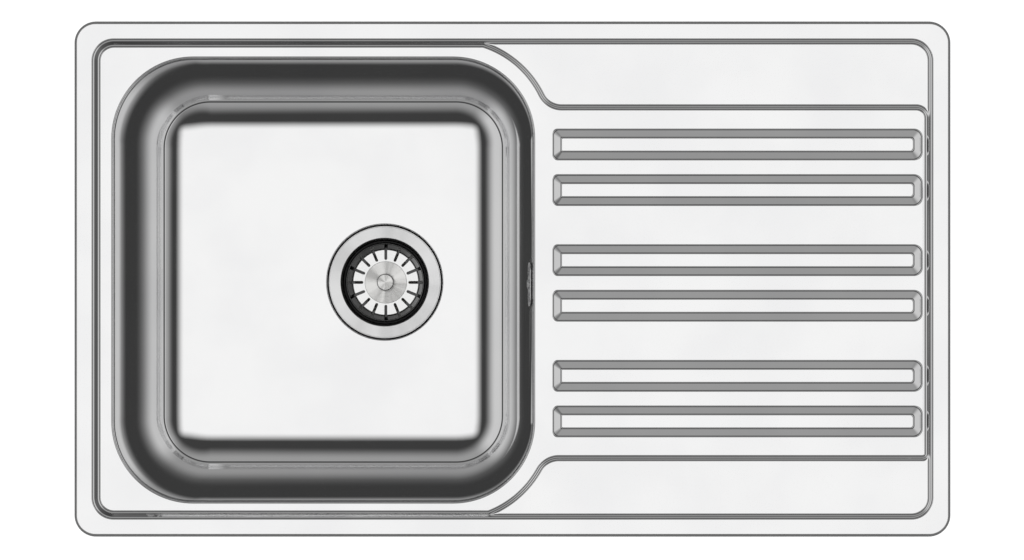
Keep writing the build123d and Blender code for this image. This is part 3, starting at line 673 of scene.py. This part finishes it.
bmesh.ops.remove_doubles(bm, verts=bm.verts, dist=MERGE * MM)
ledges, deck_edges = ([edge for edge in bm.edges if edge.is_boundary
                       and all(abs(vert.co.z - level * MM) < SAME_LEVEL for vert in edge.verts)]
                      for level in (LEDGE, DECK))
bmesh.ops.edgeloop_fill(bm, edges=ledges)
bmesh.ops.triangle_fill(bm, use_beauty=True, edges=deck_edges)
face_up(bm)
print("open edges", sum(edge.is_boundary for edge in bm.edges), "ledge edges", len(ledges))
for level in (RIM, DECK, DECK + RIB_HEIGHT):
    brace(bm, level)
finished(bm, "pressed_top", polished, "sink", "drainboard_top", SHEET)

# %% [markdown]
# ## The bowl
# The bowl is drawn from a second sheet and welded on just under the mouth. Its walls lean in
# a little more the deeper they go, turn sharply at the foot, and run out into the floor through
# a long soft rise. The floor has a shallow round recess for the strainer, and the wall beside
# the drainer has a slot for the overflow.

# %% Sizes of the bowl and the drain
FLOOR = -181.0
# Radius in mm, the tilt in degrees where the bend ends, and its steps.
CROWN_BEND, HAUNCH_BEND = (3000.0, 82.0, 8), (300.0, 73.0, 10)
FOOT_BEND, FLOOR_BEND = (9.0, 14.0, 28), (165.0, 0.0, 14)
DRAIN_X, DRAIN_Y = -131.4, -0.9
RECESS, RECESS_FOOT, RECESS_DEPTH, HOLE = 60.0, 58.0, 3.0, 45.0
OVERFLOW_Y, OVERFLOW_DEPTH = -4.8, 22.0
OVERFLOW_LENGTH, OVERFLOW_HEIGHT, OVERFLOW_RADIUS = 37.0, 10.0, 4.0


def wall_bends(profile):
    """Goes on from a profile with the wall's bends, from the draft to the level floor."""
    tilt = 90 - DRAFT
    for radius, end, steps in (CROWN_BEND, HAUNCH_BEND, FOOT_BEND, FLOOR_BEND):
        profile = bend(profile, radius, tilt, end, steps)
        tilt = end
    return profile


bends_drop = wall_bends([(0.0, 0.0)])[-1][1]
straight_end = DECK - FLOOR - bends_drop
floor_profile = wall_bends([(at_weld[0] + (straight_end - at_weld[1]) * wall_run, straight_end)])
print("floor starts", [round(value, 2) for value in floor_profile[-1]], "in")

# %% Draw the bowl
bm = bmesh.new()
points = [p + w * at_weld[0] for p, w in zip(*mouth)]
weld_ring = lay(bm, at_height(points, WELD))
wall_ring = press(bm, weld_ring, mouth, floor_profile[:1], DECK)
floor_ring = press(bm, wall_ring, mouth, floor_profile[1:], DECK)

corners = {weld_ring[0], weld_ring[1], wall_ring[0], wall_ring[1]}
side = next(face for face in bm.faces if corners == set(face.verts))
frame_edges = list(side.edges)
bmesh.ops.delete(bm, geom=[side], context="FACES_ONLY")
down = wall_ring[0].co - weld_ring[0].co
down = Vector((down.x, 0, down.z)).normalized()
slot_x = BOWL["right"] - lip_down[-1][0] - (OVERFLOW_DEPTH - lip_down[-1][1]) * wall_run
wall_top = Vector((slot_x, 0, DECK - OVERFLOW_DEPTH)) * MM
slot_line = trace(*rounded(OVERFLOW_Y - OVERFLOW_LENGTH / 2, OVERFLOW_Y + OVERFLOW_LENGTH / 2,
                           -OVERFLOW_HEIGHT / 2, OVERFLOW_HEIGHT / 2, OVERFLOW_RADIUS, steps=8))[0]
slot_ring = lay(bm, [wall_top + Vector((0, point.x * MM, 0)) - down * point.y * MM
                     for point in slot_line])
bmesh.ops.triangle_fill(bm, use_beauty=True, edges=frame_edges + edges_of(bm, slot_ring))

drain_on_floor = Matrix.Translation(Vector((DRAIN_X, DRAIN_Y, FLOOR)) * MM)
recess = bmesh.ops.create_circle(bm, cap_ends=False, segments=ROUND_STEPS, radius=RECESS * MM,
                                 matrix=drain_on_floor)["verts"]
recess_edges = list({edge for vert in recess for edge in vert.link_edges})
bmesh.ops.triangle_fill(bm, use_beauty=True, edges=edges_of(bm, floor_ring) + recess_edges)


def shrink(bm, edges, factor, fall=0.0):
    """Extrudes a ring about the drain's axis, smaller and lower."""
    made = bmesh.ops.extrude_edge_only(bm, edges=edges)["geom"]
    verts = [item for item in made if isinstance(item, bmesh.types.BMVert)]
    centre = Matrix.Translation(-Vector((DRAIN_X, DRAIN_Y, 0)) * MM)
    bmesh.ops.scale(bm, verts=verts, vec=(factor, factor, 1), space=centre)
    bmesh.ops.translate(bm, verts=verts, vec=(0, 0, -fall * MM))
    inside = set(verts)
    return [item for item in made
            if isinstance(item, bmesh.types.BMEdge) and inside.issuperset(item.verts)]


recess_edges = shrink(bm, recess_edges, RECESS_FOOT / RECESS, RECESS_DEPTH)
shrink(bm, recess_edges, HOLE / RECESS_FOOT)
face_up(bm)
print("open edges", sum(edge.is_boundary for edge in bm.edges))
for level in (FLOOR, FLOOR - RECESS_DEPTH):
    brace(bm, level)
finished(bm, "deep_bowl", polished, "sink", "bowl", SHEET)

# %% [markdown]
# ## Turned and brushed steel
# The strainer's flange, the disc in the basket and the knob were turned on a lathe, so their
# fine lines are circles round the drain's axis. The lines spread the reflection outwards from
# the axis only, which gives the disc its bright and dark sectors.

# %% Make the turned steel and the rubber
DARK_LINE = 0.93


def turned_steel(name, low, high, strength, spacing, tint, painted_shade=None):
    """Steel with lines round the drain's axis, of a roughness from low to high.

    The last argument, (from radius, to radius, factor), scales the tint down beyond a radius, as
    painted shade."""
    material, tree, shader = new_finish(name, Metallic=1.0, Anisotropic=0.75)
    where = place_on(tree, (DRAIN_X * MM, DRAIN_Y * MM, 0))
    level = add_node(tree, "ShaderNodeVectorMath", {0: where, 1: (1, 1, 0)},
                     operation="MULTIPLY").outputs[0]
    outward = add_node(tree, "ShaderNodeVectorMath", {0: level}, operation="NORMALIZE").outputs[0]
    tree.links.new(outward, shader.inputs["Tangent"])
    ring = use_group(tree, turned, Vector=where, Spacing=spacing)
    tone = blend(tree, ring, [c * DARK_LINE for c in tint], tint)
    # Painted shade: past a radius the tint is scaled down by the factor.
    if painted_shade:
        radius = add_node(tree, "ShaderNodeVectorMath", {0: level}, operation="LENGTH")
        factor = remap(tree, radius.outputs["Value"], painted_shade[0] * MM, painted_shade[1] * MM, 1.0, painted_shade[2])
        tone = add_node(tree, "ShaderNodeVectorMath", {0: tone, "Scale": factor},
                        operation="SCALE").outputs[0]
    tree.links.new(tone, shader.inputs["Base Color"])
    sectors = use_group(tree, patches, Vector=outward, Scale=0.8, Low=low, High=high)
    tree.links.new(sectors, shader.inputs["Roughness"])
    bumped(tree, shader, ring, strength, 0.0003)
    return material


# Painted shade: the tints of the cup's inside and of the basket's wall and rim are scaled down, as
# these lie in shade.
CUP_PAINTED_SHADE, BASKET_PAINTED_SHADE = (45.6, 45.0, 0.12), (33.6, 34.4, 0.2)
flange_steel = turned_steel("brushed_flange", 0.10, 0.22, 0.03, 2600.0, (0.76, 0.76, 0.76),
                            CUP_PAINTED_SHADE)
disc_steel = turned_steel("turned_disc", 0.10, 0.32, 0.05, 2200.0, (0.78, 0.775, 0.76))
basket_steel = turned_steel("basket_steel", 0.06, 0.12, 0.01, 900.0, (0.88, 0.88, 0.875),
                            BASKET_PAINTED_SHADE)

rubber, tree, shader = new_finish("black_rubber", Roughness=0.42)
where = place_on(tree)
tinted(tree, shader, use_group(tree, patches, Vector=where, Scale=160.0),
       (0.012, 0.012, 0.013), (0.03, 0.03, 0.031))
bumped(tree, shader, use_group(tree, grains, Vector=where, Scale=1500.0), 0.15, 0.0002)
print([material.name for material in bpy.data.materials])

# %% [markdown]
# ## Turning on a lathe
# A round piece is its section swept round an axis. The section is a few points joined by
# edges, whose corners are rounded by bevelling the vertices, and bmesh's spin does the rest.

# %% A helper that turns a section
def lathe(sections):
    """Turns a section of (radius, height over the bowl's floor, corner) in mm round the drain."""
    bm = bmesh.new()
    verts = []
    for radius, height, corner in sections:
        point = Vector((DRAIN_X + radius, DRAIN_Y, FLOOR + height)) * MM
        if verts:
            verts += bmesh.ops.extrude_vert_indiv(bm, verts=[verts[-1]])["verts"]
        else:
            verts += bmesh.ops.create_vert(bm, co=point)["vert"]
        verts[-1].co = point
    bm.edges.new((verts[-1], verts[0]))
    for vert, (radius, height, corner) in zip(verts, sections):
        if corner:
            bmesh.ops.bevel(bm, geom=[vert], offset=corner * MM, segments=5, profile=0.5,
                            affect="VERTICES", offset_type="OFFSET", material=-1)
    bmesh.ops.spin(bm, geom=bm.verts[:] + bm.edges[:], cent=Vector((DRAIN_X, DRAIN_Y, 0)) * MM,
                   axis=(0, 0, 1), angle=2 * pi, steps=ROUND_STEPS, use_merge=True)
    bmesh.ops.remove_doubles(bm, verts=bm.verts, dist=LATHE_MERGE * MM)
    bmesh.ops.recalc_face_normals(bm, faces=bm.faces)
    return bm


def cut(piece, cutter_bm):
    """Cuts a bmesh shape out of a piece and keeps the result as its mesh."""
    mesh = bpy.data.meshes.new("cutter")
    cutter_bm.to_mesh(mesh)
    cutter_bm.free()
    cutter = bpy.data.objects.new("cutter", mesh)
    scene.collection.objects.link(cutter)
    shading = piece.modifiers["shading"]
    shading.show_viewport = False
    boolean = piece.modifiers.new("cut", "BOOLEAN")
    boolean.object, boolean.operation, boolean.solver = cutter, "DIFFERENCE", "EXACT"
    evaluated = piece.evaluated_get(bpy.context.evaluated_depsgraph_get())
    made = bpy.data.meshes.new_from_object(evaluated)
    made.name = piece.name
    shading.show_viewport = True
    piece.modifiers.remove(boolean)
    piece.data = made
    bpy.data.objects.remove(cutter)
    print(piece.name, "cut,", len(made.polygons), "faces")


# %% [markdown]
# ## The strainer
# The flange lies in the recess on a gasket and is pulled down by the waste under it. Its cup
# holds a basket with sixteen slots, a seal and a turned disc with a knob to lift it by.

# %% Turn the flange
# Radii, and heights or depths from the bowl's floor.
FLANGE, FLANGE_TOP, FLANGE_SHEET = 57.15, -0.2, 1.0
FLARE, FLARE_DEPTH, THROAT, THROAT_DEPTH = 45.5, 2.4, 43.6, 14.0
SEAT, SEAT_DEPTH, CUP_DEPTH, CUP_HOLE = 40.2, 18.0, 36.0, 4.3
bm = lathe([(FLANGE, FLANGE_TOP - FLANGE_SHEET, 0), (FLANGE, FLANGE_TOP, 0.4),
            (FLARE, FLANGE_TOP, 0.3), (THROAT, FLANGE_TOP - FLARE_DEPTH, 1.0),
            (THROAT, -THROAT_DEPTH, 1.0), (SEAT, -SEAT_DEPTH, 1.0),
            (SEAT, -CUP_DEPTH + FLANGE_SHEET, 2.0),
            (CUP_HOLE, -CUP_DEPTH + FLANGE_SHEET, 0), (CUP_HOLE, -CUP_DEPTH, 0),
            (SEAT + FLANGE_SHEET, -CUP_DEPTH, 2.0), (SEAT + FLANGE_SHEET, -SEAT_DEPTH - 0.5, 1.0),
            (THROAT + FLANGE_SHEET, -THROAT_DEPTH - 0.5, 1.0),
            (THROAT + FLANGE_SHEET, FLANGE_TOP - FLARE_DEPTH - 0.4, 0.5),
            (FLARE + 0.6, FLANGE_TOP - FLANGE_SHEET, 0.3)])
flange = finished(bm, "flange_and_cup", flange_steel, "sink", "strainer_flange")
WINDOWS, WINDOW_REACH, WINDOW_RADIUS, WINDOW_CUT = 6, 24.0, 8.5, 6
windows = bmesh.new()
for place in range(WINDOWS):
    spot = Matrix.Rotation(place * 2 * pi / WINDOWS, 4, "Z") @ Vector((WINDOW_REACH, 0, 0))
    spot += Vector((DRAIN_X, DRAIN_Y, FLOOR - CUP_DEPTH))
    bmesh.ops.create_cone(windows, cap_ends=True, segments=48, radius1=WINDOW_RADIUS * MM,
                          radius2=WINDOW_RADIUS * MM, depth=WINDOW_CUT * MM,
                          matrix=Matrix.Translation(spot * MM))
cut(flange, windows)

# %% Turn the basket and slot it
BASKET_RIM, BASKET_TOP, BASKET_FOOT, BASKET_FLOOR, BASKET_SHEET = 38.9, -9.0, 34.4, -27.0, 0.8
bm = lathe([(BASKET_FOOT, BASKET_FLOOR, 1.0), (BASKET_RIM, BASKET_TOP, 0.6),
            (BASKET_RIM + 0.4, BASKET_TOP + 1.25, 0.5), (BASKET_RIM + 1.6, BASKET_TOP + 0.9, 0.5),
            (BASKET_RIM + 1.7, BASKET_TOP - 0.7, 0.5), (BASKET_RIM + 0.9, BASKET_TOP - 1.0, 0.3),
            (BASKET_FOOT + 0.85, BASKET_FLOOR - 0.6, 2.0),
            (0.0, BASKET_FLOOR - BASKET_SHEET, 0), (0.0, BASKET_FLOOR, 0)])
basket = finished(bm, "slotted_basket", basket_steel, "basket", "basket")
SLOTS, SLOT_START, SLOT_END = 16, 23.3, BASKET_RIM + 0.2
SLOT_WIDTH, SLOT_CORNER, SLOT_BELOW, SLOT_ABOVE = 3.0, 1.49, 2.0, 7.0
slots = bmesh.new()
for place in range(SLOTS):
    outline = trace(*rounded(SLOT_START, SLOT_END, -SLOT_WIDTH / 2, SLOT_WIDTH / 2,
                             SLOT_CORNER, steps=6))[0]
    turn = Matrix.Rotation(place * 2 * pi / SLOTS, 2)
    outline = [turn @ point + Vector((DRAIN_X, DRAIN_Y)) for point in outline]
    ring = lay(slots, at_height(outline, FLOOR + BASKET_FLOOR - SLOT_BELOW))
    bmesh.ops.edgeloop_fill(slots, edges=edges_of(slots, ring))
    top = pull(slots, ring, at_height(outline, FLOOR + BASKET_FLOOR - BASKET_SHEET + SLOT_ABOVE))
    bmesh.ops.edgeloop_fill(slots, edges=edges_of(slots, top))
bmesh.ops.recalc_face_normals(slots, faces=slots.faces)
cut(basket, slots)

# %% Turn the seal, the disc and the knob
SEAL, SEAL_CHAMFER, SEAL_HEIGHT, SEAL_GAP = 43.0, 0.8, 3.0, 0.6
seat_slope = (SEAT_DEPTH - THROAT_DEPTH) / (THROAT - SEAT)
seal_bottom = -THROAT_DEPTH - (THROAT - SEAL) * seat_slope + SEAL_GAP
seal_top = seal_bottom + SEAL_HEIGHT
bm = lathe([(BASKET_FOOT + 3.9, seal_bottom, 0), (SEAL - SEAL_CHAMFER, seal_bottom, 0.3),
            (SEAL, seal_bottom + SEAL_CHAMFER, 0.3), (SEAL, seal_top, 0.5),
            (BASKET_FOOT + 4.6, seal_top, 0)])
finished(bm, "lip_seal", rubber, "basket", "basket_seal")
PLATE, PLATE_SHEET = 21.8, 0.8
plate_top = BASKET_FLOOR + PLATE_SHEET
bm = lathe([(0, BASKET_FLOOR, 0), (PLATE, BASKET_FLOOR, 0), (PLATE, plate_top, 0.35),
            (0, plate_top, 0)])
finished(bm, "turned_disc", disc_steel, "basket", "basket_plate")
KNOB, KNOB_FOOT, KNOB_NECK, KNOB_HEIGHT = 8.7, 7.5, 6.0, 15.0
knob_top = plate_top + KNOB_HEIGHT
bm = lathe([(0, plate_top, 0), (KNOB_FOOT, plate_top, 0), (KNOB_FOOT, plate_top + 1.0, 0.3),
            (KNOB_NECK, plate_top + 4.0, 1.0), (KNOB_NECK, knob_top - 4.0, 1.0),
            (KNOB, knob_top - 2.0, 0.4), (KNOB, knob_top, 1.0), (0, knob_top, 0)])
finished(bm, "turned_knob", disc_steel, "basket", "basket_knob")

# %% [markdown]
# ## Finishes of the pieces underneath
# What holds the sink and drains it is plain: zinc-plated clips, white moulded plastic, black
# rubber, foam and damping pads. Each has its own small-scale surface.

# %% Zinc, plastic, foam, pads and brass
zinc, tree, shader = new_finish("zinc_steel", Metallic=1.0)
where = place_on(tree)
tinted(tree, shader, use_group(tree, patches, Vector=where, Scale=260.0),
       (0.50, 0.52, 0.55), (0.70, 0.71, 0.72))
gloss = use_group(tree, patches, Vector=where, Scale=420.0, Low=0.28, High=0.46)
tree.links.new(gloss, shader.inputs["Roughness"])
bumped(tree, shader, use_group(tree, grains, Vector=where, Scale=900.0), 0.1, 0.0002)

plastic, tree, shader = new_finish("white_plastic", Roughness=0.38)
where = place_on(tree)
tinted(tree, shader, use_group(tree, patches, Vector=where, Scale=60.0),
       (0.78, 0.78, 0.75), (0.86, 0.86, 0.84))
bumped(tree, shader, use_group(tree, grains, Vector=where, Scale=700.0), 0.08, 0.0002)

foam, tree, shader = new_finish("foam_seal", Roughness=0.9)
where = place_on(tree)
pores = use_group(tree, grains, Vector=where, Scale=1100.0)
tinted(tree, shader, remap(tree, pores, 0.05, 0.35), (0.035, 0.035, 0.038), (0.13, 0.13, 0.135))
bumped(tree, shader, pores, 0.6, 0.0005)

pad, tree, shader = new_finish("damping_pad", Roughness=0.75)
where = place_on(tree)
knurl = use_group(tree, grains, Vector=where, Scale=260.0)
tinted(tree, shader, remap(tree, knurl, 0.05, 0.4), (0.03, 0.03, 0.032), (0.09, 0.09, 0.095))
bumped(tree, shader, knurl, 0.7, 0.001)

brass = turned_steel("plain_brass", 0.25, 0.35, 0.1, 1800.0, (0.80, 0.60, 0.28))
plain_steel, tree, shader = new_finish("drawn_steel", Metallic=1.0)
where = place_on(tree)
grain = use_group(tree, lines, Vector=where, Spacing=1600.0, Length=120.0)
tinted(tree, shader, grain, (0.62, 0.62, 0.63), (0.78, 0.78, 0.78))
tree.links.new(remap(tree, grain, 0.3, 0.7, 0.2, 0.34), shader.inputs["Roughness"])
bumped(tree, shader, grain, 0.1, 0.0002)

# %% Put the finishes on the CAD nodes that stay
finish_of = {"polished_steel": polished, "brushed_steel": plain_steel, "foam_seal": foam,
             "black_rubber": rubber, "damping_pad": pad, "zinc_steel": zinc,
             "white_plastic": plastic, "brass": brass}
for subpart in frame["record"]["subparts"]:
    node = frame["nodes"][subpart["node"]]
    node.data.materials.clear()
    node.data.materials.append(finish_of[subpart["material_slot"]])
print("dressed", len(frame["nodes"]), "nodes")

# %% [markdown]
# ## The floor
# A plain pale floor lies just under the lowest piece. It glows a little, as a lit sweep of
# white paper does, so that no shadow falls round the sink. What the steel mirrors of it is a
# darker grey, which draws the sink's edge as a thin dark line on the paper.

# %% Lay the floor
FLOOR_REACH, FLOOR_GAP = 30.0, 0.0005
bm = bmesh.new()
bmesh.ops.create_grid(bm, x_segments=1, y_segments=1, size=FLOOR_REACH,
                      matrix=Matrix.Translation((0, 0, cad_box[0][2] - FLOOR_GAP)))
mesh = bpy.data.meshes.new("floor")
bm.to_mesh(mesh)
bm.free()
floor = bpy.data.objects.new("floor", mesh)
scene.collection.objects.link(floor)
paper, tree, shader = new_finish("floor_paper", Roughness=0.9, Emission_Strength=0.93)
mirrored = add_node(tree, "ShaderNodeLightPath").outputs["Is Glossy Ray"]
for socket, plain, dim in (("Base Color", 0.6, 0.2), ("Emission Color", 1.0, 0.1)):
    shade = blend(tree, mirrored, (plain,) * 3, (dim,) * 3)
    tree.links.new(shade, shader.inputs[socket])
mesh.materials.append(paper)

# %% Measure and finish
print("cad", cad_box)
